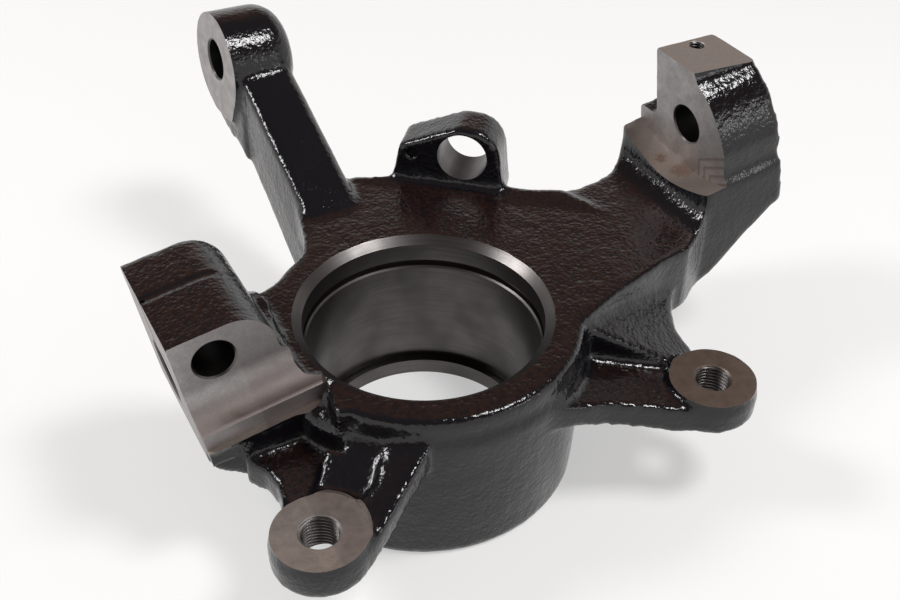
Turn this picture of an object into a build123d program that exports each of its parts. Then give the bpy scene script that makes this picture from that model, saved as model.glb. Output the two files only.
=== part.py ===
from build123d import *
from math import cos, radians, sin, tan
import os

os.makedirs("parts", exist_ok=True)

# Steering knuckle, one iron casting with machined seats. Millimetres.
# The origin is the middle of the wheel bearing seat, and +Z is the bearing axis, pointing inboard.
# +X points to the upper mount, along the caliper lugs, and +Y to the steering arm.

# Wheel bearing seat and its barrel
bearing_d = 76.0
bearing_w = 41.0
ring_groove_d = 81.0
ring_groove_w = 2.2
mouth_d = 77.6
mouth_h = 8.9
mouth_chamfer = 3.2
mouth_chamfer_h = 2.6
shoulder_d = 70.0
shoulder_t = 5.8
undercut_d = 77.0
undercut_w = 1.6
barrel_wall = 12.8
barrel_draft = 2.5
barrel_edge = 1.5
ledge_drop = 9.0
ledge_step = 1.6
rim_round = 2.6

# Plate round the barrel mouth
flange_t = 12.0
flange_front = [
    (-52, 30), (-54, -17), (-40, -17), (0, -40), (42, -28), (61, -20.6), (84.7, -13.7), (96, -12), (96, 38.6),
]
flange_back = [(96, 38.6), (84, 37.7), (72, 39.6), (58.5, 49.5), (40, 62), (25, 74.5), (12, 82)]
flange_left = [(-13, 76), (-18, 56), (-24, 44), (-34, 36.6), (-52, 30)]

# Steering axis, which climbs towards the upper mount
steer_tilt = 8.5

# Ball joint clamp block, measured along the steering axis from its left face
stud_d = 20.0
stud_x = -79.3
stud_y = 17.5
stud_z = 24.8
stud_depth = 34.0
clamp_top = 28.2
clamp_bottom = 19.0
clamp_len = 31.0
clamp_round = 13.0
clamp_back = 22.5
clamp_back_round = 3.0
clamp_front = 23.5
lip_bottom = 12.0
lip_bottom_end = 17.8
seat_step = 10.0
seat_run = 10.0
seat_lip_w = 1.0
seat_strip = 6.0
seat_skin = 1.0
seat_len = 40.5
seat_rim_r = 47.5
pinch_d = 12.8
pinch_u = 11.8
pinch_rise = 17.6
slit_w = 2.2
slit_depth = 30.0
slit_side = 1.0
groove_w = 4.6
groove_depth = 1.0
neck_outline = [(0, -19), (29, 10), (37, 1), (50, 1), (42, -43), (18, -37)]
neck_front = 28.5
neck_back = 15.5
neck_plan = [(-120, -60), (-40, -60), (-40, 33.2), (-46, 36), (-52, 60), (-120, 60)]

# Upper mount block
mount_x = 115.6
mount_y = 21.5
mount_z = 57.5
mount_d = 14.0
mount_t = 24.5
mount_front = 9.0
mount_foot_z = 27.5
pad_z = 80.0
pad_y = 17.3
pad_w = 21.7
pad_ledge = 1.5
pad_ledge_drop = 3.0
pad_slope = 4.0
pad_hole_d = 5.0
pad_hole_x = 126.4
pad_hole_y = 34.6
pad_hole_depth = 14.0
step_y = 49.0
step_z = 52.5
cutter_r = 60.0
cutter_reach = 18.2
# Front of the block from the round down to its foot: (Y, Z)
mount_flank = [(-0.1, 55.5), (-0.1, 46.6), (-2.4, 44.1), (-3.4, 31.7), (-3.8, 27.5)]
mount_arc_mid = (3.4, 64.0)

# Curved arm that carries the upper mount: side outline (X, Z) and plan outline (X, Y)
# Its rise is measured from the wall of the lump and the top of the plate
lump_gap = 6.1
lump_top = 44.0
upper_arm_rise = [(-12.5, 0), (-6.5, 1.2), (-2.5, 4), (-0.5, 9)]
upper_arm_under = [(131, 22), (124, 15), (115, 7), (107, 4), (92, 5), (78, 10)]
upper_arm_end_z = 38.0
upper_arm_front = [(44, -25), (61, -20.6), (84.7, -13.7), (97, -11.5)]
upper_arm_back = [(98, 40.5), (84, 37.7), (72, 38.7), (60, 46)]
upper_arm_root_x = 44.0
upper_arm_end_x = 150.0
upper_arm_root_top_y = 40.0

# Steering arm
tie_x = -16.0
tie_y = 141.6
tie_z = 58.4
tie_d = 15.0
tie_lean = 2.4
tie_turn = 2.0
tie_boss_r = 19.7
tie_boss_drop = 1.8
tie_boss_len = 27.0
tie_boss_round = 10.0
tie_tip = [(-19.1, -5.8), (-12.6, -20.6), (0, -21.5), (0, 0)]
tie_keel = [(-21.6, -33.5), (-16.8, -30.1), (-3.8, -27.9), (4.4, -24.9), (8.4, -13.4), (-21.6, -13.4)]
tie_keel_back = 1.2
arm_gap = 2.8
arm_w = 21.4
arm_draft = 3.0
arm_low_flare = 0.4
arm_belly = 2.0
arm_end_belly = 0.3
arm_root_y = 50.0
arm_root_top = 26.2
arm_root_low = -18.0
arm_end_y = 127.0
arm_end_top = 60.6
arm_end_low = 29.5
arm_round = 2.5
arm_round_wide = 6.0

# Wheel speed sensor boss, upright and square to a radius of the bearing
sensor_az = 49.0
sensor_r = 72.0
sensor_t = 16.5
sensor_z = 44.2
sensor_d = 18.2
sensor_side = 3.5
sensor_right = 11.8
sensor_left = [(30.7, 27.6), (27.0, 46.3)]
sensor_top = [(4.5, 55.9), (-9.0, 54.4)]
sensor_corner_r = [0.5, 2.0, 5.0, 11.0, 0.5]
sensor_edge = 1.5
sensor_back_rise = 8.0
sensor_dimple_d = 5.0
sensor_dimple_depth = 1.8
sensor_dimple_floor = 0.8
sensor_dimple_side = 22.3
sensor_dimple_z = 43.2

# Low wedge along the back edge of the plate
back_rib_h = 2.0
back_rib_foot = [(19.2, 71.8), (31.7, 56.5), (42.7, 46.5), (54.8, 36), (67.7, 27), (84, 17)]
back_rib_rear = [(80.5, 25.5), (75, 38.4), (66, 43), (58.5, 49.5), (40, 62), (25, 74.5), (12, 82), (12, 74)]
back_rib_crest = (58.5, 49.5)

# Caliper lugs
lug_pitch = 136.0
lug_left_x = -60.5
lug_y = -54.6
lug_face_z = 15.0
lug_h = 12.0
lug_face_d = 28.0
lug_boss_d = 29.4
lug_boss_drop = 2.4
lug_hole_d = 10.8
lug_hole_chamfer = 0.8
lug_edge = 1.8

# Webs from the barrel to the lugs. Points named _foot are (X, Y) or (X, Y, Z) at the barrel,
# and points named _lug are measured from the middle of the lug's face.
web_rib_rise = 1.0
web_floor_right_foot = [(50, -20), (5, -40), (8, -50.5), (20.7, -49.6), (37.3, -51.4), (50.2, -56.6)]
web_floor_right_lug = [(-12, -8.5), (-5.6, -13.5), (0, 0), (-4, 14)]
web_floor_right_top_foot = [(10, -50, 23.1)]
web_floor_right_top_lug = [(-12, -8.5, -2.6), (-13.5, 7.6, -2.4)]
web_floor_right_under_foot = [(20, -50, 12.3)]
web_floor_right_under_lug = [(-17.5, 4.6, -11.8), (-17.5, -5.4, -11.8)]
web_rib_right_foot = [(81.4, -28), (84.8, -21), (92, -12), (60, -8), (40, -27), (50, -32)]
web_rib_right_lug = [(-6.5, 13.1), (5, 12), (10, 10), (6.9, 18.6)]
web_rib_right_top_foot = [(48.5, -28.7, 27), (85, -17, 16.5)]
web_rib_right_top_lug = [(-5.9, 15.6, -0.8)]
web_floor_left_foot = [(-48, -30), (-30, -43), (-46, -60)]
web_floor_left_lug = [(-2, 6)]
web_floor_left_top_foot = [(-44.5, -35, 20), (-35, -44.5, 20)]
web_floor_left_top_lug = [(8.5, 2.6, -3.5)]
web_rib_left_foot = [(-41, -49), (-31, -38), (-20, -45), (-24.5, -49.5)]
web_rib_left_lug = [(11.2, -10.6), (4, 0)]
web_rib_left_top_foot = [(-24, -50, 23.6), (-31, -42, 23.6)]
web_rib_left_top_lug = [(10.5, -9.4, -1.6)]
web_side_left_foot = [
    (-68, -43), (-64.7, -36.6), (-63.5, -30), (-64.8, -23),
    (-68.7, -17.6), (-69, -16), (-42, -16), (-50, -34),
]
web_side_left_lug = [(3, 12), (-14, 3)]
web_side_left_top_foot = [(-68, -17, 13), (-45, -17, 13)]
web_side_left_top_lug = [(0, 10, -2.8)]
web_side_left_low = 2.5
web_left_under_foot = [(-25, -49, 14), (-66, -30, 1)]
web_left_under_lug = [(8.5, -14.4, -11.5)]

# Values that follow from the ones above
reach = 300.0
over = 1.0
rim_z = bearing_w / 2 + ring_groove_w + mouth_h
base_z = -bearing_w / 2 - shoulder_t
barrel_end_r = bearing_d / 2 + barrel_wall
ledge_z = rim_z - ledge_drop
barrel_top_r = barrel_end_r + (ledge_z - base_z) * tan(radians(barrel_draft))
rim_r = barrel_top_r - ledge_step
flange_low = rim_z - flange_t
lug_low = lug_face_z - lug_h
lump_x = mount_x - lump_gap
lug_xs = (lug_left_x, lug_left_x + lug_pitch)

# Local x runs along the steering axis, and local y is square to it, upward
axis_dir = Vector(cos(radians(steer_tilt)), 0, sin(radians(steer_tilt)))
stud_point = (stud_x, stud_y, stud_z)
mount_point = (mount_x, mount_y, mount_z)
clamp_frame = Plane(stud_point, x_dir=axis_dir, z_dir=(0, -1, 0))
# The same points with local z along the axis, local x along Y and local y upward
clamp_side = Plane(stud_point, x_dir=(0, 1, 0), z_dir=axis_dir)
mount_side = Plane(mount_point, x_dir=(0, 1, 0), z_dir=axis_dir)


def plan(points, low, high):
    """Upright prism on a plan outline."""
    return extrude(Plane.XY.offset(low) * make_face(Polyline(*points, close=True)), amount=high - low)


def plan_face(*runs):
    """Plan face bounded by runs of points: a list is straight lines, a tuple one smooth curve."""
    lines = [Spline(*run) if isinstance(run, tuple) else Polyline(*run) for run in runs]
    return make_face(Curve() + lines)


def across(frame, points, front, back):
    """Prism on a side outline, from front to back along Y, measured from the frame."""
    face = frame.offset(-back) * make_face(Polyline(*points, close=True))
    return extrude(face, amount=front + back)


def under(a, b, c):
    """Everything below the plane through three points."""
    normal = (Vector(*b) - Vector(*a)).cross(Vector(*c) - Vector(*a)).normalized()
    if normal.Z < 0:
        normal = -normal
    top = Plane(a, z_dir=normal)
    return top * Box(reach, reach, reach, align=(Align.CENTER, Align.CENTER, Align.MAX))


def rod(x, y, low, high, r):
    """Upright cylinder."""
    return Pos(x, y, low) * Cylinder(r, high - low, align=(Align.CENTER, Align.CENTER, Align.MIN))


def circles(body):
    """Circular edges of a body, lowest first."""
    return body.edges().filter_by(GeomType.CIRCLE).sort_by(Axis.Z)


def hub():
    """Bearing barrel with its raised rim, still solid."""
    outline = Polyline(
        (0, base_z),
        (barrel_end_r, base_z),
        (barrel_top_r, ledge_z),
        (rim_r, ledge_z),
        (rim_r, rim_z),
        (0, rim_z),
        close=True,
    )
    body = revolve(Plane.XZ * make_face(outline), Axis.Z)
    body = fillet(circles(body)[-1], rim_round)
    return chamfer(circles(body)[0], barrel_edge)


def flange():
    """Plate round the barrel mouth that joins both mounts and the arm."""
    outline = plan_face(
        flange_front, tuple(flange_back), [flange_back[-1], flange_left[0]], tuple(flange_left),
    )
    return extrude(Plane.XY.offset(flange_low) * outline, amount=flange_t)


def lug(x):
    """Caliper lug: a boss with its face standing a little proud."""
    boss = rod(x, lug_y, lug_low, lug_face_z - lug_boss_drop, lug_boss_d / 2)
    boss = chamfer(circles(boss)[0], lug_edge)
    return boss + rod(x, lug_y, lug_low + lug_edge, lug_face_z, lug_face_d / 2)


def from_lug(x, offsets):
    """Points that are given from the middle of a lug's face."""
    middle = (x, lug_y, lug_face_z)
    return [tuple(base + step for base, step in zip(middle, offset)) for offset in offsets]


def web(x, foot, lug_side, low, top_foot, top_lug):
    """Upright slab from the barrel to a lug, under a plane through three points."""
    slab = plan(foot + from_lug(x, lug_side), low, rim_z)
    return slab & under(*top_foot, *from_lug(x, top_lug))


def right_web():
    """Two-level web from the barrel and the upper arm down to the right lug."""
    x = lug_xs[-1]
    low = web(
        x, web_floor_right_foot, web_floor_right_lug, lug_low,
        web_floor_right_top_foot, web_floor_right_top_lug,
    )
    low -= under(*web_floor_right_under_foot, *from_lug(x, web_floor_right_under_lug))
    return low + web(
        x, web_rib_right_foot, web_rib_right_lug, lug_low + web_rib_rise,
        web_rib_right_top_foot, web_rib_right_top_lug,
    )


def left_web():
    """Pocketed web from the barrel and the clamp block down to the left lug."""
    x = lug_xs[0]
    floor = web(
        x, web_floor_left_foot, web_floor_left_lug, lug_low,
        web_floor_left_top_foot, web_floor_left_top_lug,
    )
    rib = web(
        x, web_rib_left_foot, web_rib_left_lug, lug_low,
        web_rib_left_top_foot, web_rib_left_top_lug,
    )
    side = web(
        x, web_side_left_foot, web_side_left_lug, web_side_left_low,
        web_side_left_top_foot, web_side_left_top_lug,
    )
    return floor + rib + side - under(*web_left_under_foot, *from_lug(x, web_left_under_lug))


def clamp_block():
    """Ball joint clamp with its rounded crown, and the neck that carries it."""
    crown = clamp_len - clamp_round
    outline = make_face(
        Polyline((crown, clamp_top), (0, clamp_top), (0, -clamp_bottom), (clamp_len, -clamp_bottom),
                 (clamp_len, clamp_top - clamp_round))
        + RadiusArc((clamp_len, clamp_top - clamp_round), (crown, clamp_top), -clamp_round)
    )
    block = extrude(clamp_frame.offset(-clamp_back) * outline, amount=clamp_back + clamp_front)
    rear = block.edges().group_by(Axis.Y)[-1].sort_by(Axis.Z)[1:]
    block = fillet(rear.filter_by(lambda edge: edge.center().X > stud_x), clamp_back_round)
    top = seat_lip_w + seat_run
    lip = across(
        clamp_frame,
        [(0, top), (seat_len, top), (seat_len, -lip_bottom_end), (seat_run, -lip_bottom), (0, -lip_bottom)],
        clamp_front + seat_step + seat_skin, 0,
    )
    lip -= rod(0, 0, base_z, reach, seat_rim_r)
    neck = across(clamp_frame, neck_outline, neck_front, neck_back)
    return block + lip + (neck & plan(neck_plan, -reach, rim_z))


def upper_arm_flank():
    """Everything behind the drafted front of the curved arm, which turns into the block's front."""
    start, front_y = upper_arm_front[-1]
    high, low = mount_flank[2], mount_flank[3]
    turn = plan([(start, -reach), (lump_x, -reach), (lump_x, reach), (start, reach)], -reach, reach)
    turn &= under((start, front_y, rim_z), (lump_x, *low), (lump_x, *high))
    end = plan([(lump_x, -reach), (reach, -reach), (reach, reach), (lump_x, reach)], -reach, reach)
    return turn + (end & under((lump_x, *high), (reach, *high), (lump_x, *low)))


def upper_mount():
    """Deep curved arm, its lump and the upright block of the upper mount."""
    rise = [(lump_x + x, rim_z + z) for x, z in upper_arm_rise]
    outline = plan_face(
        tuple(rise),
        [rise[-1], (lump_x, lump_top), (upper_arm_end_x, lump_top),
         (upper_arm_end_x, upper_arm_end_z), upper_arm_under[0]],
        tuple(upper_arm_under),
        [upper_arm_under[-1], (upper_arm_root_x, flange_low), (upper_arm_root_x, rim_z), rise[0]],
    )
    arm = extrude(Plane.XZ * outline, amount=reach, both=True)
    front_y = mount_flank[-1][0]
    bend_x = upper_arm_front[-1][0]
    above = plan_face(
        [*upper_arm_front, (lump_x, front_y), (upper_arm_end_x, front_y),
         (upper_arm_end_x, step_y), (lump_x, step_y)],
        ((lump_x, step_y), *upper_arm_back),
        [upper_arm_back[-1], (upper_arm_root_x, upper_arm_root_top_y), upper_arm_front[0]],
    )
    arm &= extrude(above, amount=reach, both=True)
    back = extrude(mount_side.offset(mount_t) * Rectangle(reach, reach), amount=-reach)

    def side(y, z):
        return (y - mount_y, z - mount_z)

    flank = [side(*point) for point in mount_flank]
    ledge = [side(pad_y, pad_z - over / 2), side(pad_y - pad_ledge, pad_z - pad_ledge_drop - over / 2)]
    shoulder = side(pad_y - pad_ledge - pad_slope, pad_z - pad_ledge_drop - over / 2 - pad_slope / 2)
    arc = ThreePointArc(shoulder, side(*mount_arc_mid), flank[0])
    rest = Polyline(
        *flank,
        side(step_y, mount_foot_z), side(step_y, step_z), side(pad_y + pad_w, step_z),
        side(pad_y + pad_w, pad_z + over), side(pad_y, pad_z + over),
        *ledge, shoulder,
    )
    block = extrude(mount_side.offset(-mount_front) * make_face(arc + rest), amount=mount_t + mount_front)
    above_pad = Box(2 * reach, 2 * reach, reach, align=(Align.CENTER, Align.CENTER, Align.MIN))
    block -= Pos(0, 0, pad_z) * above_pad
    return (arm & back & (upper_arm_flank() + plan(
        [(-reach, -reach), (bend_x, -reach), (bend_x, reach), (-reach, reach)], -reach, reach,
    ))) + block


def tie_frame():
    """Machined face of the steering arm: local z points into the boss, and local y up."""
    lean = radians(tie_lean)
    turn = radians(tie_turn)
    inward = Vector(cos(lean) * cos(turn), cos(lean) * sin(turn), -sin(lean))
    return Plane((tie_x, tie_y, tie_z), x_dir=(-sin(turn), cos(turn), 0), z_dir=inward)


def arm_section(y, top, low, belly):
    """Six-cornered cross-section of the steering arm, widest at half its height."""
    left = tie_x + arm_gap
    right = left + arm_w
    inset = (top - low) / 2 * tan(radians(arm_draft))
    middle = (top + low) / 2
    return Plane.XZ.offset(-y) * make_face(Polyline(
        (left, top), (right, top), (right + inset + belly, middle),
        (right, low), (left - arm_low_flare, low), (left - arm_low_flare / 2 - belly / 2, middle), close=True,
    ))


def steering_arm():
    """Tapered arm with drafted sides, and the rounded head that takes the tie rod end."""
    arm = loft([
        arm_section(arm_root_y, arm_root_top, arm_root_low, arm_belly),
        arm_section(arm_end_y, arm_end_top, arm_end_low, arm_end_belly),
    ], ruled=True)
    ridges = arm.edges().filter_by(lambda edge: edge.length > arm_end_y - arm_root_y).sort_by(Axis.Z)[-2:]
    arm = fillet(ridges.sort_by(Axis.X)[-1], arm_round_wide)
    ridges = arm.edges().filter_by(lambda edge: edge.length > arm_end_y - arm_root_y).sort_by(Axis.Z)
    arm = fillet(ridges[-3:].sort_by(Axis.X)[0], arm_round)
    face = tie_frame()
    head = extrude(face * (Pos(0, -tie_boss_drop) * Circle(tie_boss_r)), amount=tie_boss_len)
    head = fillet(head.edges().filter_by(GeomType.CIRCLE).sort_by(Axis.X)[-1], tie_boss_round)
    tip = extrude(face * make_face(Polyline(*tie_tip, close=True)), amount=tie_boss_len - tie_boss_round)
    keel_outline = make_face(Polyline(*tie_keel, close=True))
    keel = extrude(face.offset(tie_keel_back) * keel_outline, amount=tie_boss_round)
    return arm + head + tip + keel


def sensor_frame():
    """Front of the sensor boss: local z points outward, and local x to the steering arm."""
    out = Vector(cos(radians(sensor_az)), sin(radians(sensor_az)), 0)
    return Plane(out * sensor_r, x_dir=(-out.Y, out.X, 0), z_dir=out)


def sensor_boss():
    """Upright lug for the wheel speed sensor."""
    left_foot = (sensor_left[0][0], flange_low)
    right_foot = (-sensor_right, flange_low)
    outline = FilletPolyline(
        left_foot, *sensor_left, *sensor_top, (-sensor_right, rim_z), right_foot, radius=sensor_corner_r,
    )
    frame = sensor_frame()
    boss = extrude(frame * make_face(outline + Line(right_foot, left_foot)), amount=sensor_t)
    flats = boss.faces().filter_by(Axis((0, 0, 0), frame.z_dir))
    boss = fillet(flats.edges().filter_by(lambda edge: edge.center().Z > flange_low), sensor_edge)
    corners = [(0, flange_low, 0), (over, flange_low, 0), (0, flange_low + sensor_back_rise, sensor_t)]
    return boss - under(*[tuple(frame.from_local_coords(corner)) for corner in corners])


def back_rib():
    """Low wedge along the back edge of the plate, from the arm past the sensor boss."""
    ridge = plan(back_rib_foot + back_rib_rear, flange_low, rim_z + back_rib_h)
    return ridge & under(
        (*back_rib_foot[0], rim_z), (*back_rib_foot[-1], rim_z), (*back_rib_crest, rim_z + back_rib_h),
    )


def bore():
    """Everything that is turned out of the barrel."""
    seat_r = bearing_d / 2
    top = bearing_w / 2
    chamfer_r = mouth_d / 2 + mouth_chamfer
    outline = Polyline(
        (0, base_z - over),
        (shoulder_d / 2, base_z - over),
        (shoulder_d / 2, -top),
        (undercut_d / 2, -top),
        (undercut_d / 2, -top + undercut_w),
        (seat_r, -top + undercut_w),
        (seat_r, top),
        (ring_groove_d / 2, top),
        (ring_groove_d / 2, top + ring_groove_w),
        (mouth_d / 2, top + ring_groove_w),
        (mouth_d / 2, rim_z - mouth_chamfer_h),
        (chamfer_r, rim_z),
        (chamfer_r, reach),
        (0, reach),
        close=True,
    )
    return revolve(Plane.XZ * make_face(outline), Axis.Z)


def clamp_cuts():
    """Machined bolt seat, stud bore, pinch bolt hole and slit of the ball joint clamp."""
    flat = -clamp_front
    foot = flat - seat_step
    turn = seat_lip_w + seat_run
    away = foot - clamp_len
    tool = make_face(
        Polyline((flat, turn), (flat, reach), (away, reach), (away, seat_lip_w - seat_strip),
                 (foot, seat_lip_w - seat_strip), (foot, seat_lip_w))
        + RadiusArc((foot, seat_lip_w), (flat, turn), -seat_run)
    )
    start = clamp_side.offset(-over)
    cuts = extrude(start * tool, amount=seat_len + over)
    cuts += extrude(start * Circle(stud_d / 2), amount=stud_depth + over)
    cuts += extrude(clamp_frame * Pos(pinch_u, pinch_rise) * Circle(pinch_d / 2), amount=reach / 2, both=True)
    slit = Pos(slit_side, clamp_top / 2) * Rectangle(slit_w, clamp_top + over)
    groove = Pos(slit_side, clamp_top) * Rectangle(groove_w, 2 * groove_depth)
    cuts += extrude(start * slit, amount=slit_depth + over)
    cuts += extrude(start * groove, amount=clamp_len)
    return cuts


def mount_cuts():
    """Face, round shelf and holes of the upper mount."""
    front = mount_side.offset(-mount_front - clamp_len)
    cuts = extrude(front * Pos(0, cutter_r - cutter_reach) * Circle(cutter_r), amount=mount_front + clamp_len)
    cuts += extrude(mount_side.offset(-over) * Circle(mount_d / 2), amount=mount_t + mount_front)
    return cuts + rod(pad_hole_x, pad_hole_y, pad_z - pad_hole_depth, pad_z + over, pad_hole_d / 2)


def lug_holes():
    """Threaded holes of the caliper lugs, at their minor diameter."""
    cuts = []
    for x in lug_xs:
        cuts.append(rod(x, lug_y, base_z, lug_face_z + over, lug_hole_d / 2))
        cuts.append(Pos(x, lug_y, lug_face_z) * Cone(
            lug_hole_d / 2, lug_hole_d / 2 + lug_hole_chamfer, lug_hole_chamfer,
            align=(Align.CENTER, Align.CENTER, Align.MAX),
        ))
    return cuts


def arm_holes():
    """Tie rod hole, sensor hole and the centre mark beside it."""
    frame = sensor_frame()
    sensor = frame.offset(-over) * Pos(sensor_side, sensor_z) * Circle(sensor_d / 2)
    mark = frame * Pos(sensor_dimple_side, sensor_dimple_z) * Cone(
        sensor_dimple_d / 2, sensor_dimple_floor / 2, sensor_dimple_depth,
        align=(Align.CENTER, Align.CENTER, Align.MIN),
    )
    return [
        extrude(tie_frame().offset(-over) * Circle(tie_d / 2), amount=tie_boss_len + 2 * over),
        extrude(sensor, amount=sensor_t + 2 * over),
        mark,
    ]


def knuckle():
    """The whole casting, then every machining cut."""
    body = hub()
    for piece in (flange, upper_mount, clamp_block, steering_arm, right_web, left_web, sensor_boss, back_rib):
        body += piece()
    for x in lug_xs:
        body += lug(x)
    for cut in (bore, clamp_cuts, mount_cuts):
        body -= cut()
    for cut in lug_holes() + arm_holes():
        body -= cut
    return body


part = knuckle()
print("solids", len(part.solids()), "volume", round(part.volume))
export_step(part, "parts/knuckle.step")
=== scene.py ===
from math import cos, pi, radians, sin

import bmesh
import bpy
import numpy as np
from mathutils import Matrix, Vector, noise


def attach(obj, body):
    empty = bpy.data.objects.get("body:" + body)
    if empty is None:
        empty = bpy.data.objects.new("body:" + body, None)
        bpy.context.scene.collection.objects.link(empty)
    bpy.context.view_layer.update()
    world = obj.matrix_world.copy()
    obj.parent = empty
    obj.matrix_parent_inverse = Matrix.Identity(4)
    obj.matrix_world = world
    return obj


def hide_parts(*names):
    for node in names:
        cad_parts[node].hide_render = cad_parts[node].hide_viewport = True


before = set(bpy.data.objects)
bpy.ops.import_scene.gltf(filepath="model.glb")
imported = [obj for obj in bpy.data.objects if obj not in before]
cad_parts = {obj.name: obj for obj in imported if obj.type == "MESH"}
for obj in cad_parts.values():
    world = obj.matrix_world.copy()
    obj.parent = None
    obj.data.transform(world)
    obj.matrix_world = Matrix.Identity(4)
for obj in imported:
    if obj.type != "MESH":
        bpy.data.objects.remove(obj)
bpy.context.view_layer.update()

MM = 0.001

# Sizes in millimetres, those of the solid as in the part's source
BEARING_R = 38.0
BEARING_TOP = 20.5
BEARING_LEAD = 0.6
GROOVE_R = 40.5
GROOVE_W = 2.2
MOUTH_R = 38.8
CHAMFER = 3.2
CHAMFER_H = 2.6
SHOULDER_R = 35.0
UNDERCUT_R = 38.5
UNDERCUT_W = 1.6
UNDERCUT_SLOPE = 0.5
RIM_Z = 31.6
BASE_Z = -26.3

STEER_TILT = radians(8.5)
STUD = Vector((-79.3, 17.5, 24.8))
STUD_R = 10.0
STUD_DEPTH = 34.0
CLAMP_TOP = 28.2
CLAMP_LEN = 31.0
CLAMP_FRONT = 23.5
CLAMP_BACK = 22.4
SEAT_STEP = 10.0
SEAT_RUN = 10.0
SEAT_LIP = 1.0
SEAT_STRIP = 6.0
PINCH_R = 6.4
PINCH_AT = (11.8, 17.6)
SLIT_SIDE = 1.0
SLIT_SEEN = 1.3
SLIT_OPEN = 1.6
SLIT_CLOSED = 23.0
SLIT_COVER = 2.4
SLIT_FILL = (-2.5, 4.5)
GROOVE_BAR = 4.0
GROOVE_DEPTH = 0.75
GROOVE_TURN = radians(62)
GROOVE_PARTS = 8
CLAMP_ROUND = 13.0
SEAT_BEVEL = 0.4
SEAT_END = 39.2

MOUNT = Vector((115.6, 21.5, 57.5))
MOUNT_R = 7.0
MOUNT_T = 24.5
PAD_Z = 80.0
STEP_Y = 49.0
STEP_Z = 52.5
STEP_CUT = 0.25
MOUNT_SPAN = (100, 152)
CUTTER_R = 60.0
CUTTER_REACH = 18.2
PAD_HOLE = (126.4, 34.6)
PAD_HOLE_R = 2.5
PAD_HOLE_DEPTH = 14.0

TIE = Vector((-16.0, 141.6, 58.4))
TIE_LEAN = radians(2.4)
TIE_TURN = radians(2.0)
TIE_R = 7.5
TIE_LEN = 27.0

SENSOR_AZ = radians(49.0)
SENSOR_FACE_R = 72.0
SENSOR_T = 16.5
SENSOR_Z = 44.2
SENSOR_R = 9.1
SENSOR_SIDE = 3.5
DIMPLE_SIDE = 22.3
DIMPLE_Z = 43.2
DIMPLE_R = 1.6
DIMPLE_CHAMFER = 0.9

LUGS = (-60.5, 75.5)
LUG_Y = -54.6
LUG_Z = 15.0
LUG_LOW = 3.0
LUG_SPOT_R = 14.7
LUG_HOLE_R = 5.4
LUG_CHAMFER = 0.8
THREAD_PITCH = 1.25
THREAD_DEPTH = 0.62
PAD_PITCH = 1.0
PAD_THREAD_DEPTH = 0.45

# Metal left on the casting for the cutters, and the casting's own mesh
STOCK = 2.5
STOCK_ROOT = 0.2
DRILL_STOCK = 2
BARREL_STOCK_R = 45.0
LUG_STOCK_R = 8.0
TIE_STOCK = 3
SENSOR_STOCK = 1.5
DIMPLE_STOCK = (4.5, 4)
INSET = 0.02
CELL = 1.3
SOFTEN = 0.5
SOFTEN_TURNS = 4
SAME_CORNER = 0.002
ROUGH_DEPTH = 0.13
ROUGH_SIZES = (7.0, 3.0)
ROUGH_SHARES = (0.7, 0.6)
ROUGH_SHIFT = Vector((9, 4, 2))

# How far a cutter starts outside the metal, how far it goes past it, and its rim chamfer
LEAD = 1.5
PAST = 3
CHAMFER_BORE = 0.6
CHAMFER_BOLT = 0.5

# Tests for the solid's machined faces, and the angles at which a shaded edge is sharp
SAME_WAY = 0.999
SAME_PLANE = 0.03
SAME_ROUND = 0.25
INWARD = -0.97
METAL_CREASE = radians(28)
CAST_CREASE = radians(50)

# Fillet between the clamp and the rim, in the clamp's plan, and where it starts
SEAT_CORNER = [
    (30, 12), (31.2, 9.7), (32, 5.5), (33.2, 3.3), (34.8, 1.9), (37, 1.3), (37, -2), (30, -2),
]
SEAT_CORNER_FROM = 14

# Cast end of the rim beside the milled strip, seen from above, and its foot
RIM_END = [
    (-38.6, -15.9), (-40.9, -16.3), (-42.6, -22.6), (-44.0, -28.5), (-42.5, -31), (-38.6, -31),
]
RIM_END_FROM = 20

# Floor of the left web's pocket, seen from above, carried on to the barrel, and its heights
WEB_ROOT = [
    (-50, -27), (-46, -24), (-36, -22), (-30, -30), (-36, -37), (-39, -39), (-46.5, -33),
]
WEB_ROOT_SPAN = (6, 12.5)

# The steering axis, which the clamp and the upper mount are square to
AXIS = Vector((cos(STEER_TILT), 0, sin(STEER_TILT)))


class Place:
    """A right-handed local frame in millimetres."""

    def __init__(self, origin, x, z):
        self.z = Vector(z).normalized()
        self.x = (Vector(x) - self.z * Vector(x).dot(self.z)).normalized()
        self.y = self.z.cross(self.x)
        self.o = Vector(origin)

    def at(self, x, y, z=0.0):
        return self.o + self.x * x + self.y * y + self.z * z


STUD_SIDE = Place(STUD, (0, 1, 0), AXIS)
MOUNT_SIDE = Place(MOUNT, (0, 1, 0), AXIS)
CLAMP_PLAN = Place(STUD, AXIS, (0, -1, 0))
TIE_FACE = Place(
    TIE,
    (-sin(TIE_TURN), cos(TIE_TURN), 0),
    (cos(TIE_LEAN) * cos(TIE_TURN), cos(TIE_LEAN) * sin(TIE_TURN), -sin(TIE_LEAN)),
)
OUT = Vector((cos(SENSOR_AZ), sin(SENSOR_AZ), 0))
SENSOR_FRONT = Place(OUT * SENSOR_FACE_R, (-OUT.y, OUT.x, 0), OUT)
WORLD = Place((0, 0, 0), (1, 0, 0), (0, 0, 1))


def circle(r, steps=96, cx=0.0, cy=0.0):
    angles = [2 * pi * i / steps for i in range(steps)]
    return [(cx + r * cos(angle), cy + r * sin(angle)) for angle in angles]


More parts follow.
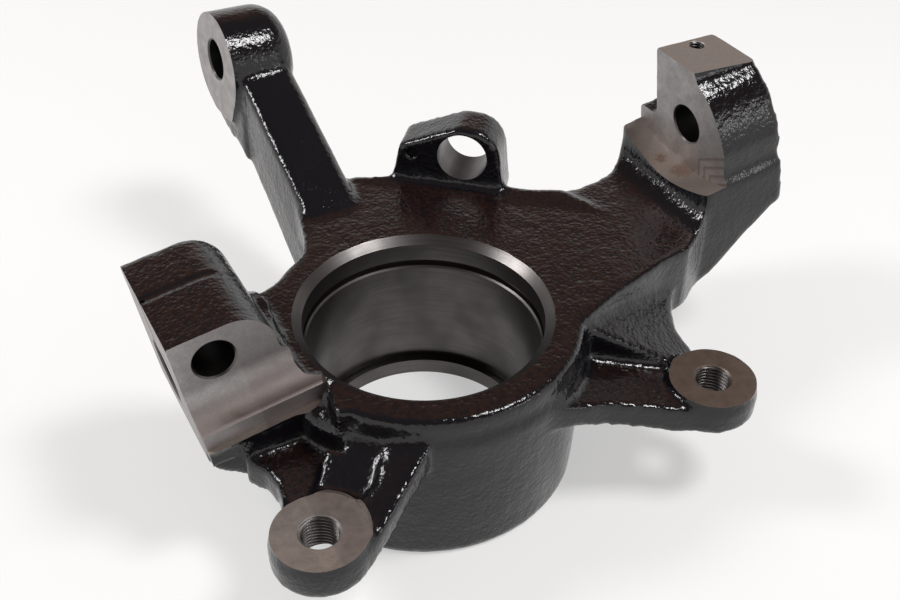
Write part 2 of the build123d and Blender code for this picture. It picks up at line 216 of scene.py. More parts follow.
def arc(cx, cy, r, start, end, steps):
    step = (end - start) / steps
    angles = [start + step * i for i in range(steps + 1)]
    return [(cx + r * cos(angle), cy + r * sin(angle)) for angle in angles]


def prism(bm, place, outline, low, high):
    """Closed prism on a local outline."""
    turn = sum(a[0] * b[1] - b[0] * a[1] for a, b in zip(outline, outline[1:] + outline[:1]))
    points = outline if turn > 0 else outline[::-1]
    bottom = [bm.verts.new(place.at(x, y, low)) for x, y in points]
    top = [bm.verts.new(place.at(x, y, high)) for x, y in points]
    bm.faces.new(bottom[::-1])
    bm.faces.new(top)
    n = len(points)
    for i in range(n):
        j = (i + 1) % n
        bm.faces.new((bottom[i], bottom[j], top[j], top[i]))


def turned(bm, place, profile, steps=160):
    """Closed body of revolution; the profile runs up from the axis and back to it."""
    rings = []
    for r, z in profile:
        if r < 1e-6:
            rings.append([bm.verts.new(place.at(0, 0, z))])
        else:
            rings.append([bm.verts.new(place.at(x, y, z)) for x, y in circle(r, steps)])
    for a, b in zip(rings, rings[1:]):
        for i in range(steps):
            j = (i + 1) % steps
            if len(a) == 1:
                bm.faces.new((a[0], b[j], b[i]))
            elif len(b) == 1:
                bm.faces.new((a[i], a[j], b[0]))
            else:
                bm.faces.new((a[i], a[j], b[j], b[i]))


def screw(bm, place, r, depth, pitch, low, high, steps=40, rows=9):
    """Closed threaded rod on a grid of rings."""
    shape = [(0.0, 0.0), (0.12, 0.0), (0.44, 1.0), (0.56, 1.0), (0.88, 0.0), (1.0, 0.0)]
    count = round((high - low) / pitch * rows)
    rings = []
    for k in range(count + 1):
        z = low + (high - low) * k / count
        ring = []
        for i in range(steps):
            angle = 2 * pi * i / steps
            share = (z / pitch - i / steps) % 1.0
            out = float(np.interp(share, *zip(*shape)))
            q = r + depth * out
            ring.append(bm.verts.new(place.at(q * cos(angle), q * sin(angle), z)))
        rings.append(ring)
    bm.faces.new(rings[0][::-1])
    bm.faces.new(rings[-1])
    for a, b in zip(rings, rings[1:]):
        for i in range(steps):
            j = (i + 1) % steps
            bm.faces.new((a[i], a[j], b[j], b[i]))


def mesh_object(name, bm, material=None, turn_out=True):
    if turn_out:
        bmesh.ops.recalc_face_normals(bm, faces=bm.faces)
    mesh = bpy.data.meshes.new(name)
    bm.to_mesh(mesh)
    bm.free()
    if material:
        mesh.materials.append(material)
    obj = bpy.data.objects.new(name, mesh)
    bpy.context.scene.collection.objects.link(obj)
    return obj


def apply_all(obj):
    """Applies the modifiers of an object to its mesh."""
    graph = bpy.context.evaluated_depsgraph_get()
    mesh = bpy.data.meshes.new_from_object(obj.evaluated_get(graph))
    obj.modifiers.clear()
    old = obj.data
    obj.data = mesh
    bpy.data.meshes.remove(old)


def thicken(bm, faces, move):
    """Closed layer of metal on a patch of faces, as thick as move says for each corner."""
    patch = set(faces)
    low, high = {}, {}
    for face in faces:
        for v in face.verts:
            if v not in low:
                push = move(v.co)
                low[v] = bm.verts.new(v.co - push * STOCK_ROOT)
                high[v] = bm.verts.new(v.co + push)
    for face in faces:
        bm.faces.new([high[v] for v in face.verts])
        bm.faces.new([low[v] for v in reversed(face.verts)])
        for loop in face.loops:
            if not any(f in patch for f in loop.edge.link_faces if f is not face):
                a, b = loop.vert, loop.link_loop_next.vert
                bm.faces.new((low[a], low[b], high[b], high[a]))


def flat_patch(bm, place, level, sign):
    """Faces of the solid on a plane of a local frame that look along its z, or against it."""
    found = []
    for face in bm.faces:
        if face.normal.dot(place.z) * sign < SAME_WAY:
            continue
        middle = face.calc_center_median()
        if abs((middle - place.o).dot(place.z) - level) <= SAME_PLANE:
            found.append(face)
    return found


def round_patch(bm, place, cx, cy, r, near=None):
    """Faces of the solid on a hollow cylinder along a local frame's z."""
    axis_at = place.at(cx, cy)
    found = []
    for face in bm.faces:
        middle = face.calc_center_median()
        away = middle - axis_at
        away -= place.z * away.dot(place.z)
        if abs(away.length - r) > SAME_ROUND or face.normal.dot(away.normalized()) > INWARD:
            continue
        if near is None or near((middle - place.o).dot(place.z)):
            found.append(face)
    return found


def toward_axis(place, cx, cy, thick):
    """Push towards a cylinder's axis."""
    axis_at = place.at(cx, cy)

    def push(co):
        away = co - axis_at
        away -= place.z * away.dot(place.z)
        return away.normalized() * -thick
    return push


SEAT_SIDE = Place(STUD, AXIS, (0, -1, 0))


def machined_patches(bm):
    """Gives every machined face of the solid some metal for its cutter to take away."""
    bm.normal_update()

    def even(place, sign, thick=STOCK):
        return lambda co: place.z * sign * thick

    jobs = [
        (flat_patch(bm, WORLD, BASE_Z, -1), even(WORLD, -1)),
        (flat_patch(bm, WORLD, LUG_Z, 1), even(WORLD, 1)),
        (flat_patch(bm, WORLD, PAD_Z, 1), even(WORLD, 1)),
        (flat_patch(bm, MOUNT_SIDE, 0, -1), even(MOUNT_SIDE, -1)),
        (round_patch(bm, MOUNT_SIDE, 0, CUTTER_R - CUTTER_REACH, CUTTER_R, lambda z: -15 < z < 1),
         toward_axis(MOUNT_SIDE, 0, CUTTER_R - CUTTER_REACH, STOCK)),
        (flat_patch(bm, STUD_SIDE, 0, -1), even(STUD_SIDE, -1)),
        (flat_patch(bm, SEAT_SIDE, CLAMP_FRONT, 1), even(SEAT_SIDE, 1)),
        (flat_patch(bm, SEAT_SIDE, CLAMP_FRONT + SEAT_STEP, 1), even(SEAT_SIDE, 1)),
        (round_patch(bm, STUD_SIDE, -CLAMP_FRONT - SEAT_RUN, SEAT_LIP + SEAT_RUN, SEAT_RUN),
         toward_axis(STUD_SIDE, -CLAMP_FRONT - SEAT_RUN, SEAT_LIP + SEAT_RUN, STOCK)),
        (flat_patch(bm, TIE_FACE, 0, -1), even(TIE_FACE, -1)),
    ]
    for faces, push in jobs:
        thicken(bm, faces, push)


def stock_bodies(bm):
    """Metal that the drills and the boring bar take away, put back on the casting."""
    prism(bm, WORLD, circle(BARREL_STOCK_R), BASE_Z - STOCK, RIM_Z)
    for x in LUGS:
        prism(bm, WORLD, circle(LUG_STOCK_R, 48, x, LUG_Y), LUG_LOW + INSET, LUG_Z + STOCK)
    prism(bm, TIE_FACE, circle(TIE_R + TIE_STOCK), -STOCK, TIE_LEN - INSET)
    prism(bm, SENSOR_FRONT, circle(SENSOR_R + SENSOR_STOCK, 64, SENSOR_SIDE, SENSOR_Z),
          INSET, SENSOR_T - INSET)
    dimple_r, dimple_depth = DIMPLE_STOCK
    prism(bm, SENSOR_FRONT, circle(dimple_r, 24, DIMPLE_SIDE, DIMPLE_Z), INSET, dimple_depth)
    prism(bm, STUD_SIDE, circle(STUD_R + DRILL_STOCK), -STOCK, STUD_DEPTH + 1)
    prism(bm, CLAMP_PLAN, circle(PINCH_R + DRILL_STOCK, 48, *PINCH_AT),
          -CLAMP_BACK, CLAMP_FRONT + STOCK)
    slit_low, slit_high = SLIT_FILL
    prism(bm, STUD_SIDE, [(slit_low, 0), (slit_high, 0), (slit_high, CLAMP_TOP), (slit_low, CLAMP_TOP)],
          -STOCK, CLAMP_LEN - CLAMP_ROUND)
    x0, y0 = CLAMP_LEN - CLAMP_ROUND, CLAMP_TOP - CLAMP_ROUND
    crown = arc(x0, y0, CLAMP_ROUND, 0, pi / 2, 12)
    prism(bm, CLAMP_PLAN, [(x0 - 2, y0)] + crown + [(x0 - 2, CLAMP_TOP)], -slit_high, -slit_low)
    prism(bm, CLAMP_PLAN, SEAT_CORNER, SEAT_CORNER_FROM, CLAMP_FRONT + SEAT_STEP + STOCK)
    prism(bm, WORLD, RIM_END, RIM_END_FROM, RIM_Z)
    prism(bm, WORLD, WEB_ROOT, *WEB_ROOT_SPAN)
    prism(bm, MOUNT_SIDE, circle(MOUNT_R + DRILL_STOCK, 48), -STOCK, MOUNT_T - INSET)
    prism(bm, WORLD, circle(PAD_HOLE_R + DRILL_STOCK, 32, *PAD_HOLE),
          PAD_Z - PAD_HOLE_DEPTH - 1, PAD_Z + STOCK)


class Shader:
    """A node material, with short names for the nodes that the finishes share."""

    def __init__(self, name):
        self.material = bpy.data.materials.new(name)
        self.material.use_nodes = True
        self.tree = self.material.node_tree
        self.surface = self.tree.nodes["Principled BSDF"]
        self.where = self.node("ShaderNodeTexCoord").outputs["Object"]
        self.facing = self.node("ShaderNodeNewGeometry").outputs["Normal"]

    def node(self, kind, inputs=(), **settings):
        made = self.tree.nodes.new(kind)
        for key, value in settings.items():
            setattr(made, key, value)
        for key, value in dict(inputs).items():
            self.put(made.inputs[key], value)
        return made

    def put(self, socket, value):
        if isinstance(value, bpy.types.NodeSocket):
            self.tree.links.new(value, socket)
        else:
            socket.default_value = value

    def math(self, operation, *values):
        return self.node("ShaderNodeMath", dict(enumerate(values)), operation=operation).outputs[0]

    def ramp(self, value, start, end, low=0.0, high=1.0):
        """Smooth step from low to high as the value goes from start to end."""
        made = self.node("ShaderNodeMapRange", interpolation_type="SMOOTHSTEP")
        names = ("Value", "From Min", "From Max", "To Min", "To Max")
        for key, number in zip(names, (value, start, end, low, high)):
            self.put(made.inputs[key], number)
        return made.outputs[0]

    def noise(self, size, detail=2.0, rough=0.5, where=None):
        """Cloudy noise whose lumps are about size millimetres across."""
        inputs = {"Vector": where or self.where, "Scale": 1 / (size * MM)}
        inputs.update({"Detail": detail, "Roughness": rough})
        return self.node("ShaderNodeTexNoise", inputs).outputs[0]

    def cells(self, size):
        inputs = {"Vector": self.where, "Scale": 1 / (size * MM), "Smoothness": 0.7}
        return self.node("ShaderNodeTexVoronoi", inputs, feature="SMOOTH_F1").outputs[0]

    def mix(self, share, a, b):
        made = self.node("ShaderNodeMix", data_type="RGBA")
        sockets = [made.inputs[0], made.inputs[6], made.inputs[7]]
        for socket, value in zip(sockets, (share, a, b)):
            self.put(socket, (*value, 1) if isinstance(value, tuple) else value)
        return made.outputs[2]

    def along(self, vector, axis, start=0.0):
        """Distance in millimetres along an axis."""
        inputs = {0: vector, 1: tuple(axis)}
        made = self.node("ShaderNodeVectorMath", inputs, operation="DOT_PRODUCT")
        return self.math("SUBTRACT", self.math("MULTIPLY", made.outputs["Value"], 1 / MM), start)

    def local(self, place):
        return [self.along(self.where, axis, place.o.dot(axis)) for axis in (place.x, place.y, place.z)]

    def spot(self, centre, radius, ragged=0.6):
        """Share of a ragged patch round a point in millimetres."""
        inputs = {0: self.where, 1: tuple(c * MM for c in centre)}
        made = self.node("ShaderNodeVectorMath", inputs, operation="DISTANCE")
        away = self.math("MULTIPLY", made.outputs["Value"], 1 / MM)
        uneven = self.math("SUBTRACT", self.noise(1.4, 3), 0.5)
        edge = self.math("ADD", away, self.math("MULTIPLY", uneven, radius * ragged * 4))
        return self.ramp(edge, radius, radius * 0.45)

    def most(self, *values):
        share = values[0]
        for value in values[1:]:
            share = self.math("MAXIMUM", share, value)
        return share

    def bump(self, height, depth):
        inputs = {"Height": height, "Distance": depth * MM}
        made = self.node("ShaderNodeBump", inputs)
        self.put(self.surface.inputs["Normal"], made.outputs[0])

    def finish(self, colour, roughness, metallic):
        self.put(self.surface.inputs["Base Color"], colour)
        self.put(self.surface.inputs["Roughness"], roughness)
        self.surface.inputs["Metallic"].default_value = metallic
        return self.material


def up_share(shader, start, end):
    split = shader.node("ShaderNodeSeparateXYZ", {0: shader.facing})
    return shader.ramp(split.outputs[2], start, end)


def paint():
    """Gloss black paint with orange peel over sand-cast iron, with a painted brown reflection where it
    faces up.
    """
    k = Shader("painted_casting")
    peel = k.noise(1.15, 2, 0.55)
    lumps = k.noise(2.6, 2, 0.5)
    pits = k.cells(1.5)
    height = k.math("ADD", k.math("MULTIPLY", peel, 0.55), k.math("MULTIPLY", lumps, 0.5))
    height = k.math("ADD", height, k.math("MULTIPLY", pits, 0.4))
    k.bump(height, 0.26)
    grain = k.math("ADD", k.math("MULTIPLY", peel, 0.6), k.math("MULTIPLY", pits, 0.5))
    speck = k.ramp(grain, 0.40, 0.66, 0.25, 1.0)
    # Painted brown reflection of the room above on up-facing paint, broken into specks by the peel and
    # pits
    paint_reflection_share = k.math("MULTIPLY", up_share(k, 0.92, 0.99), speck)
    colour = k.mix(paint_reflection_share, PAINT_BLACK, PAINT_REFLECTED_BROWN)
    rust = k.most(*[k.spot(centre, radius) for centre, radius in PAINT_RUST])
    colour = k.mix(rust, colour, RUST)
    gloss = k.ramp(k.noise(14, 3), 0.3, 0.7, 0.10, 0.16)
    gloss = k.math("ADD", gloss, k.math("MULTIPLY", rust, 0.6))
    k.surface.inputs["IOR"].default_value = 1.5
    return k.finish(colour, gloss, 0.0)


def mount_marks(k):
    """Nested angles that the end mill left in the corner of the upper mount's face."""
    across, upward, deep = k.local(MOUNT_SIDE)
    x0, y0 = MARKS_CORNER
    down = k.math("ADD", k.math("MULTIPLY", k.math("SUBTRACT", across, x0), -sin(MARKS_LEAN)),
                  k.math("MULTIPLY", k.math("SUBTRACT", upward, y0), -cos(MARKS_LEAN)))
    side = k.math("SUBTRACT", x0, across)
    nest = k.math("MINIMUM", down, side)
    wave = k.math("FRACT", k.math("DIVIDE", nest, MARKS_STEP))
    near = k.ramp(k.math("ABSOLUTE", deep), 0.3, 0.1)
    on_face = k.math("MULTIPLY", k.ramp(nest, -0.2, 0.2), near)
    return k.math("MULTIPLY", on_face, k.ramp(wave, 0.15, 0.5, 0.8, 0.0))


def seat_tones(k):
    """Shares of the darker half of the bolt seat and of painted shade in its hollow foot."""
    along, _, high = k.local(SEAT_SIDE)
    rise = k.along(k.where, STUD_SIDE.y, STUD.dot(STUD_SIDE.y))
    edge = k.ramp(along, SEAT_TONE_U - 0.6, SEAT_TONE_U + 0.6)
    tone = k.math("MULTIPLY", edge, k.ramp(rise, 15, 8))
    tone = k.math("MULTIPLY", tone, k.ramp(along, 46, 40))
    # Painted shade in the hollow foot of the seat, where its curve turns up
    painted_cove_shade = k.math("MULTIPLY", k.ramp(high, 24.0, 27.5), k.ramp(high, 33.6, 33.3))
    return tone, painted_cove_shade


def milled():
    """Bare milled iron: satin, mottled, with a painted brown reflection where it faces up, painted
    shade in the seat's hollow foot, and faint cutter marks.
    """
    k = Shader("machined_iron")
    cloud = k.noise(5, 4, 0.6)
    grit = k.noise(0.7, 2, 0.6)
    colour = k.mix(k.ramp(cloud, 0.3, 0.7), IRON_LIGHT, IRON_DARK)
    # Painted brown reflection of the room above on up-facing iron, uneven by a cloud
    iron_reflection_share = k.math("MULTIPLY", up_share(k, 0.75, 0.95), k.ramp(k.noise(11, 3), 0.2, 0.7, 0.6, 1.0))
    colour = k.mix(iron_reflection_share, colour, IRON_REFLECTED_BROWN)
    colour = k.mix(k.ramp(grit, 0.35, 0.7, 0.0, 0.35), colour, IRON_GRIT)
    colour = k.mix(mount_marks(k), colour, IRON_MARK_AND_SHADE)
    tone, painted_cove_shade = seat_tones(k)
    colour = k.mix(k.math("MULTIPLY", tone, 0.45), colour, IRON_MARK_AND_SHADE)
    # Painted shade in the seat's hollow foot
    colour = k.mix(k.math("MULTIPLY", painted_cove_shade, 0.6), colour, IRON_MARK_AND_SHADE)
    colour = k.mix(k.math("MULTIPLY", k.spot(*OILED, 0.1), 0.85), colour, IRON_OILED)
    rust = k.most(*[k.spot(centre, radius, 0.35) for centre, radius in IRON_RUST])
    colour = k.mix(k.math("MULTIPLY", rust, 0.32), colour, RUST)
    k.bump(k.math("ADD", grit, k.math("MULTIPLY", k.noise(2.2, 2), 0.5)), 0.03)
    gloss = k.math("ADD", k.ramp(cloud, 0.3, 0.7, 0.46, 0.56), k.math("MULTIPLY", rust, 0.3))
    return k.finish(colour, gloss, 1.0)


def turned_metal():
    """Bored, turned and threaded iron, darker, with rings from the tool."""
    k = Shader("bored_iron")
    squeeze = {"Vector": k.where, "Scale": (0.03, 0.03, 1.0)}
    rings = k.node("ShaderNodeMapping", squeeze).outputs[0]
    lines = k.noise(0.7, 3, 0.65, rings)
    cloud = k.noise(16, 2, 0.5)
    colour = k.mix(k.ramp(cloud, 0.3, 0.7), BORE_LIGHT, BORE_DARK)
    colour = k.mix(k.ramp(lines, 0.35, 0.65, 0.0, 0.5), colour, BORE_DARK)
    k.bump(lines, 0.02)
    return k.finish(colour, k.ramp(cloud, 0.3, 0.7, 0.30, 0.36), 1.0)


# Colours of the finishes, with painted brown reflections and painted shade among them, and the places
# of rust and tool marks in millimetres
PAINT_BLACK = (0.0045, 0.0042, 0.0062)
# Brown painted on up-facing paint as a reflection of the room above
PAINT_REFLECTED_BROWN = (0.018, 0.0085, 0.0065)
RUST = (0.34, 0.16, 0.07)
IRON_LIGHT = (0.40, 0.385, 0.38)
IRON_DARK = (0.32, 0.308, 0.305)
# Brown painted on up-facing iron as a reflection of the room above
IRON_REFLECTED_BROWN = (0.40, 0.335, 0.295)
IRON_GRIT = (0.27, 0.235, 0.225)
# Colour of the tool marks, also used for the darker half of the bolt seat and for painted shade in its
# hollow foot
IRON_MARK_AND_SHADE = (0.22, 0.185, 0.18)
IRON_OILED = (0.16, 0.115, 0.09)
BORE_LIGHT = (0.135, 0.126, 0.123)
BORE_DARK = (0.085, 0.079, 0.078)
MARKS_CORNER = (-7.2, -10.5)
MARKS_STEP = 3.2
MARKS_LEAN = radians(30)
SEAT_TONE_U = 18.4
OILED = ((75.5, -54.6, 15.0), 26.0)
PAINT_RUST = [((-50.5, 36.5, 22.0), 2.2)]
IRON_RUST = [((-41.2, -16.0, 27.2), 1.8), ((115.0, 20.0, 40.5), 5.0), ((113.5, 30.0, 41.0), 3.5)]
PAINT = paint()
IRON = milled()
BORED = turned_metal()


def casting():
    """The rough casting: the solid with its machined places filled, remeshed and smoothed."""
    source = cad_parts["knuckle"].data
    bm = bmesh.new()
    bm.from_mesh(source)
    bmesh.ops.scale(bm, vec=(1 / MM,) * 3, verts=bm.verts)
    bmesh.ops.remove_doubles(bm, verts=bm.verts, dist=SAME_CORNER)
    machined_patches(bm)
    stock_bodies(bm)
    obj = mesh_object("knuckle_casting", bm, PAINT, False)
    shape = obj.modifiers.new("cells", "REMESH")
    shape.mode = "VOXEL"
    shape.voxel_size = CELL
    soft = obj.modifiers.new("soft", "SMOOTH")
    soft.factor = SOFTEN
    soft.iterations = SOFTEN_TURNS
    apply_all(obj)
    obj.data.materials.clear()
    obj.data.materials.append(PAINT)
    obj.data.polygons.foreach_set("material_index", [0] * len(obj.data.polygons))
    roughen(obj)
    return obj


def roughen(obj):
    """Uneven skin of a sand casting, pressed inward only, so that no size grows."""
    mesh = obj.data
    count = len(mesh.vertices)
    normals = np.empty(count * 3)
    mesh.vertex_normals.foreach_get("vector", normals)
    normals = normals.reshape(-1, 3)
    places = np.empty(count * 3)
    mesh.vertices.foreach_get("co", places)
    places = places.reshape(-1, 3)
    broad, fine = ROUGH_SIZES
    broad_share, fine_share = ROUGH_SHARES
    for i, place in enumerate(places):
        at = Vector(place)
        level = broad_share * noise.noise(at / broad)
        level += fine_share * noise.noise(at / fine + ROUGH_SHIFT)
        places[i] -= normals[i] * ROUGH_DEPTH * min(max(1 + level, 0), 2)
    mesh.vertices.foreach_set("co", places.ravel())
    mesh.update()


def slab(place, outline, low, high, material):
    bm = bmesh.new()
    prism(bm, place, outline, low, high)
    return mesh_object("cutter", bm, material)


def box_outline(x0, x1, y0, y1):
    return [(x0, y0), (x1, y0), (x1, y1), (x0, y1)]


def upright(x, y, z=0.0):
    """Frame at a point, parallel to the part's own."""
    return Place((x, y, z), (1, 0, 0), (0, 0, 1))


def lathe(place, profile, material, steps):
    """Turned cutter."""
    bm = bmesh.new()
    turned(bm, place, profile, steps)
    return mesh_object("cutter", bm, material)


def tap(place, r, depth, pitch, low, high, steps=40, rows=9):
    """Threaded cutter."""
    bm = bmesh.new()
    screw(bm, place, r, depth, pitch, low, high, steps, rows)
    return mesh_object("cutter", bm, BORED)


def hole(place, cx, cy, r, low, high, material, chamfer=0.0, steps=64):
    """Drill, with a chamfer where it enters a face at the frame's own level, going up its z."""
    spot = Place(place.at(cx, cy), place.x, place.z)
    profile = [(0, low), (r + chamfer - low, low), (r, chamfer), (r, high), (0, high)]
    if not chamfer:
        profile = [(0, low), (r, low), (r, high), (0, high)]
    return lathe(spot, profile, material, steps)


def boring_bar():
    """Everything that is turned out of the barrel."""
    top = BEARING_TOP + GROOVE_W
    slope = CHAMFER_H / CHAMFER
    rim_r, above = MOUTH_R + CHAMFER, 60
    return lathe(WORLD, [
        (0, BASE_Z - 4), (SHOULDER_R, BASE_Z - 4), (SHOULDER_R, -BEARING_TOP),
        (UNDERCUT_R, -BEARING_TOP), (UNDERCUT_R, -BEARING_TOP + UNDERCUT_W),
        (BEARING_R, -BEARING_TOP + UNDERCUT_W + UNDERCUT_SLOPE),
        (BEARING_R, BEARING_TOP - BEARING_LEAD), (BEARING_R + BEARING_LEAD, BEARING_TOP),
        (GROOVE_R, BEARING_TOP), (GROOVE_R, top), (MOUTH_R, top), (MOUTH_R, RIM_Z - CHAMFER_H),
        (rim_r, RIM_Z), (rim_r + 2, RIM_Z + 2 * slope), (rim_r + 2, above), (0, above),
    ], BORED, 180)


def seat_mill():
    """Milled bolt seat of the clamp with its hollow foot, a small chamfer and the strip."""
    flat, foot, turn = -CLAMP_FRONT, -CLAMP_FRONT - SEAT_STEP, SEAT_LIP + SEAT_RUN
    front, low = foot - STOCK - 0.7, SEAT_LIP - SEAT_STRIP
    outline = [(flat, 60), (front, 60), (front, low), (foot, low), (foot, SEAT_LIP - SEAT_BEVEL)]
    outline += arc(foot, turn, SEAT_RUN, -pi / 2, 0, 24)[1:]
    return slab(STUD_SIDE, outline, -6, SEAT_END, IRON)


def swept(place, path, r, steps=20):
    """Closed round bar along a path in a local frame's xy plane."""
    bm = bmesh.new()
    rings = []
    for i, (x, y) in enumerate(path):
        x0, y0 = path[max(i - 1, 0)]
        x1, y1 = path[min(i + 1, len(path) - 1)]
        across = Vector((y0 - y1, x1 - x0)).normalized()
        ring = []
        for k in range(steps):
            a = 2 * pi * k / steps
            ring.append(bm.verts.new(place.at(
                x + across.x * r * cos(a), y + across.y * r * cos(a), r * sin(a))))
        rings.append(ring)
    bm.faces.new(rings[0])
    bm.faces.new(rings[-1][::-1])
    for a, b in zip(rings, rings[1:]):
        for i in range(steps):
            j = (i + 1) % steps
            bm.faces.new((a[i], a[j], b[j], b[i]))
    return mesh_object("cutter", bm, PAINT)


def crown_groove():
    """Shallow round groove over the crown of the clamp, in line with the slit."""
    lift = GROOVE_BAR - GROOVE_DEPTH
    round_r = CLAMP_ROUND + lift
    x0, y0 = CLAMP_LEN - CLAMP_ROUND, CLAMP_TOP - CLAMP_ROUND
    path = [(-4, CLAMP_TOP + lift), (x0 * 0.5, CLAMP_TOP + lift)]
    for i in range(GROOVE_PARTS + 1):
        share = i / GROOVE_PARTS
        angle = pi / 2 - share * GROOVE_TURN
        out = round_r + GROOVE_BAR * share ** 3
        path.append((x0 + out * cos(angle), y0 + out * sin(angle)))
    middle = Place(CLAMP_PLAN.at(0, 0, -SLIT_SIDE), AXIS, (0, -1, 0))
    return swept(middle, path, GROOVE_BAR)


def cutters():
    """Every machining cut, in the order of the real job."""
    yield slab(WORLD, circle(62), BASE_Z - 8, BASE_Z, IRON)
    yield boring_bar()
    for x in LUGS:
        yield slab(WORLD, circle(LUG_SPOT_R, 96, x, LUG_Y), LUG_Z, LUG_Z + 8, IRON)
    for x in LUGS:
        yield tap(upright(x, LUG_Y), LUG_HOLE_R, THREAD_DEPTH, THREAD_PITCH, LUG_LOW - 2, LUG_Z + 0.7)
        mouth = LUG_HOLE_R + LUG_CHAMFER
        yield lathe(upright(x, LUG_Y, LUG_Z), [
            (0, -LUG_CHAMFER), (LUG_HOLE_R, -LUG_CHAMFER), (mouth + 0.6, 0.6), (0, 0.6),
        ], IRON, 48)
    yield slab(WORLD, box_outline(*MOUNT_SPAN, 0, 52), PAD_Z, PAD_Z + 10, IRON)
    yield slab(WORLD, box_outline(*MOUNT_SPAN, STEP_Y, 64), STEP_Z - STEP_CUT, PAD_Z - 2, IRON)
    yield slab(MOUNT_SIDE, circle(CUTTER_R, 240, 0, CUTTER_R - CUTTER_REACH), -50, 0, IRON)
    yield hole(MOUNT_SIDE, 0, 0, MOUNT_R, -LEAD, MOUNT_T + PAST, BORED, CHAMFER_BOLT)
    pad_hole = upright(*PAD_HOLE, PAD_Z)
    yield tap(pad_hole, PAD_HOLE_R, PAD_THREAD_DEPTH, PAD_PITCH, -PAD_HOLE_DEPTH, 0.6, 28, 8)
    yield lathe(pad_hole, [
        (0, -0.6), (PAD_HOLE_R, -0.6), (PAD_HOLE_R + 1.1, 0.5), (0, 0.5),
    ], IRON, 40)
    yield slab(STUD_SIDE, box_outline(-60, 40, -40, 50), -8, 0, IRON)
    yield seat_mill()
    yield hole(STUD_SIDE, 0, 0, STUD_R, -LEAD, STUD_DEPTH, BORED, CHAMFER_BORE)
    yield crown_groove()
    slit = (SLIT_SIDE - SLIT_SEEN / 2, SLIT_SIDE + SLIT_SEEN / 2)
    yield slab(STUD_SIDE, box_outline(*slit, 0, CLAMP_TOP - SLIT_COVER), -4, SLIT_CLOSED, PAINT)
    yield slab(STUD_SIDE, box_outline(*slit, 20, CLAMP_TOP + 4), -4, SLIT_OPEN, PAINT)
    pinch = Place(CLAMP_PLAN.at(*PINCH_AT, CLAMP_FRONT), AXIS, (0, 1, 0))
    yield hole(pinch, 0, 0, PINCH_R, -LEAD, 52, BORED, CHAMFER_BOLT)
    yield slab(TIE_FACE, circle(27), -8, 0, IRON)
    yield hole(TIE_FACE, 0, 0, TIE_R, -LEAD, TIE_LEN + PAST, BORED, CHAMFER_BORE)
    yield hole(SENSOR_FRONT, SENSOR_SIDE, SENSOR_Z, SENSOR_R, -PAST, SENSOR_T + PAST, BORED)
    yield hole(SENSOR_FRONT, DIMPLE_SIDE, DIMPLE_Z, DIMPLE_R, -0.9, 2.0, PAINT, DIMPLE_CHAMFER, 32)


def machine(obj):
    """Takes every cut out of the casting, and keeps each cutter's material on what it leaves."""
    for cutter in cutters():
        cut = obj.modifiers.new("cut", "BOOLEAN")
        cut.operation = "DIFFERENCE"
        cut.solver = "MANIFOLD"
        cut.material_mode = "TRANSFER"
        cut.object = cutter
        apply_all(obj)
        bpy.data.objects.remove(cutter)


def crisp(obj):
    """Smooth shading, with sharp edges where materials meet and at machined corners."""
    bm = bmesh.new()
    bm.from_mesh(obj.data)
    for face in bm.faces:
        face.smooth = True
    for edge in bm.edges:
        if len(edge.link_faces) != 2:
            edge.smooth = False
            continue
        a, b = edge.link_faces
        metal = a.material_index != 0 or b.material_index != 0
        limit = METAL_CREASE if metal else CAST_CREASE
        edge.smooth = a.material_index == b.material_index and edge.calc_face_angle(0) < limit
    bm.to_mesh(obj.data)
    bm.free()


knuckle = casting()
machine(knuckle)
crisp(knuckle)
knuckle.data.transform(Matrix.Scale(MM, 4))
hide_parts("knuckle")
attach(knuckle, "root")

# View, floor, camera and lights
bpy.context.scene.view_settings.view_transform = "Standard"


def floor_finish():
    """Pale floor that shows white around the object and keeps its shadow."""
    k = Shader("pale_floor")
    tint = k.mix(k.ramp(k.noise(400, 2), 0.3, 0.7), FLOOR_PALE, FLOOR_WARM)
    k.finish(tint, 0.9, 0.0)
    path = k.node("ShaderNodeLightPath").outputs
    seen = k.most(path["Is Camera Ray"], path["Is Glossy Ray"], path["Is Transmission Ray"])
    k.surface.inputs["Emission Color"].default_value = (1, 1, 1, 1)
    k.put(k.surface.inputs["Emission Strength"], k.math("MULTIPLY", seen, FLOOR_GLOW))
    return k.material


FLOOR_PALE = (0.55, 0.55, 0.55)
FLOOR_WARM = (0.54, 0.54, 0.535)
FLOOR_GLOW = 0.45
FLOOR_HALF = 3
FLOOR_THICK = 0.02
floor_bm = bmesh.new()
prism(floor_bm, WORLD, box_outline(-FLOOR_HALF, FLOOR_HALF, -FLOOR_HALF, FLOOR_HALF),
      BASE_Z * MM - FLOOR_THICK, BASE_Z * MM)
floor = mesh_object("floor", floor_bm, floor_finish())

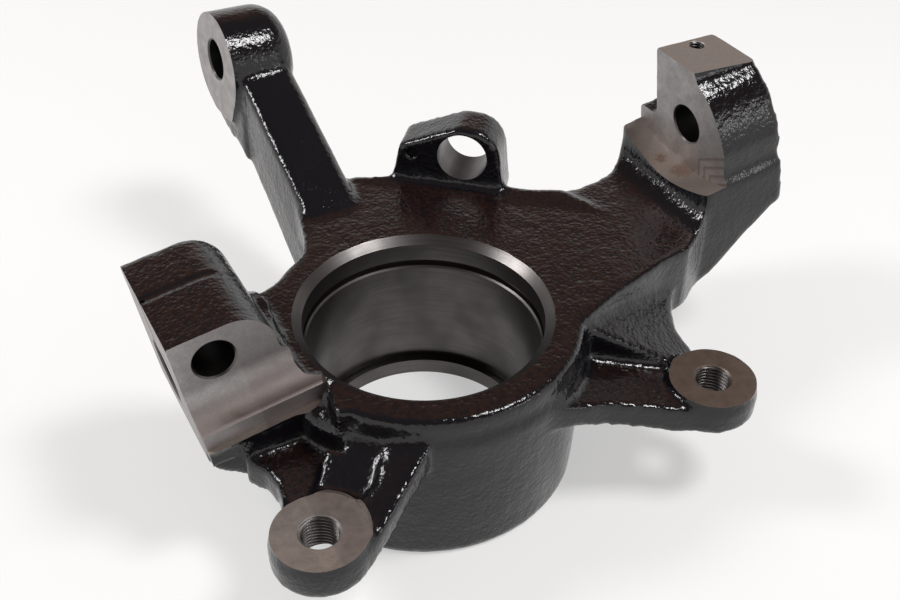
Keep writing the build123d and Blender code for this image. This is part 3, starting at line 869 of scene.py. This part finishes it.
# The photo's camera, solved from the turned ellipses; its place is in millimetres
LENS = 46.79
SENSOR_WIDTH = 36.0
CAMERA_AT = Vector((-132.5, -256.07, 265.77))
CAMERA_RIGHT = Vector((0.8798, -0.4750, 0.0138))
CAMERA_FORWARD = Vector((0.379, 0.6837, -0.6236))
camera_data = bpy.data.cameras.new("camera")
camera = bpy.data.objects.new("camera", camera_data)
bpy.context.scene.collection.objects.link(camera)
camera_data.lens = LENS
camera_data.sensor_width = SENSOR_WIDTH
camera_data.clip_start = 0.01
right = CAMERA_RIGHT.normalized()
back = -CAMERA_FORWARD.normalized()
up = back.cross(right).normalized()
right = up.cross(back)
turn = Matrix((right, up, back)).transposed().to_4x4()
camera.matrix_world = Matrix.Translation(CAMERA_AT * MM) @ turn
bpy.context.scene.camera = camera

world = bpy.data.worlds.new("world")
bpy.context.scene.world = world
world.use_nodes = True
sky = world.node_tree
towards = sky.nodes.new("ShaderNodeTexCoord").outputs["Generated"]
split = sky.nodes.new("ShaderNodeSeparateXYZ")
sky.links.new(towards, split.inputs[0])
bands = sky.nodes.new("ShaderNodeValToRGB")
sky.links.new(split.outputs[2], bands.inputs[0])
sky.links.new(bands.outputs[0], sky.nodes["Background"].inputs["Color"])
# Brightness of the room by height: pale paper low down, brown wall above it, dark ceiling
ROOM = [(0.0, (0.95, 0.95, 0.95)), (0.34, (0.90, 0.89, 0.88)), (0.46, (0.50, 0.45, 0.42)),
        (0.60, (0.12, 0.075, 0.06)), (0.78, (0.17, 0.14, 0.125)), (1.0, (0.14, 0.13, 0.13))]
while len(bands.color_ramp.elements) < len(ROOM):
    bands.color_ramp.elements.new(0.5)
for stop, (height, colour) in zip(bands.color_ramp.elements, ROOM):
    stop.position = height
    stop.color = (*colour, 1)


def lamp(name, place, size, power):
    """Square softbox that looks at the origin."""
    data = bpy.data.lights.new(name, "AREA")
    data.shape = "RECTANGLE"
    data.size = data.size_y = size
    data.energy = power
    obj = bpy.data.objects.new(name, data)
    bpy.context.scene.collection.objects.link(obj)
    obj.location = place
    obj.rotation_mode = "QUATERNION"
    obj.rotation_quaternion = (-Vector(place)).to_track_quat("-Z", "Y")


lamp("front_softbox", (0.38, -0.30, 0.95), 0.26, 5.5)
lamp("left_softbox", (-0.72, 0.52, 0.85), 0.32, 6.0)
lamp("right_softbox", (0.70, -0.95, 0.48), 0.18, 0.55)
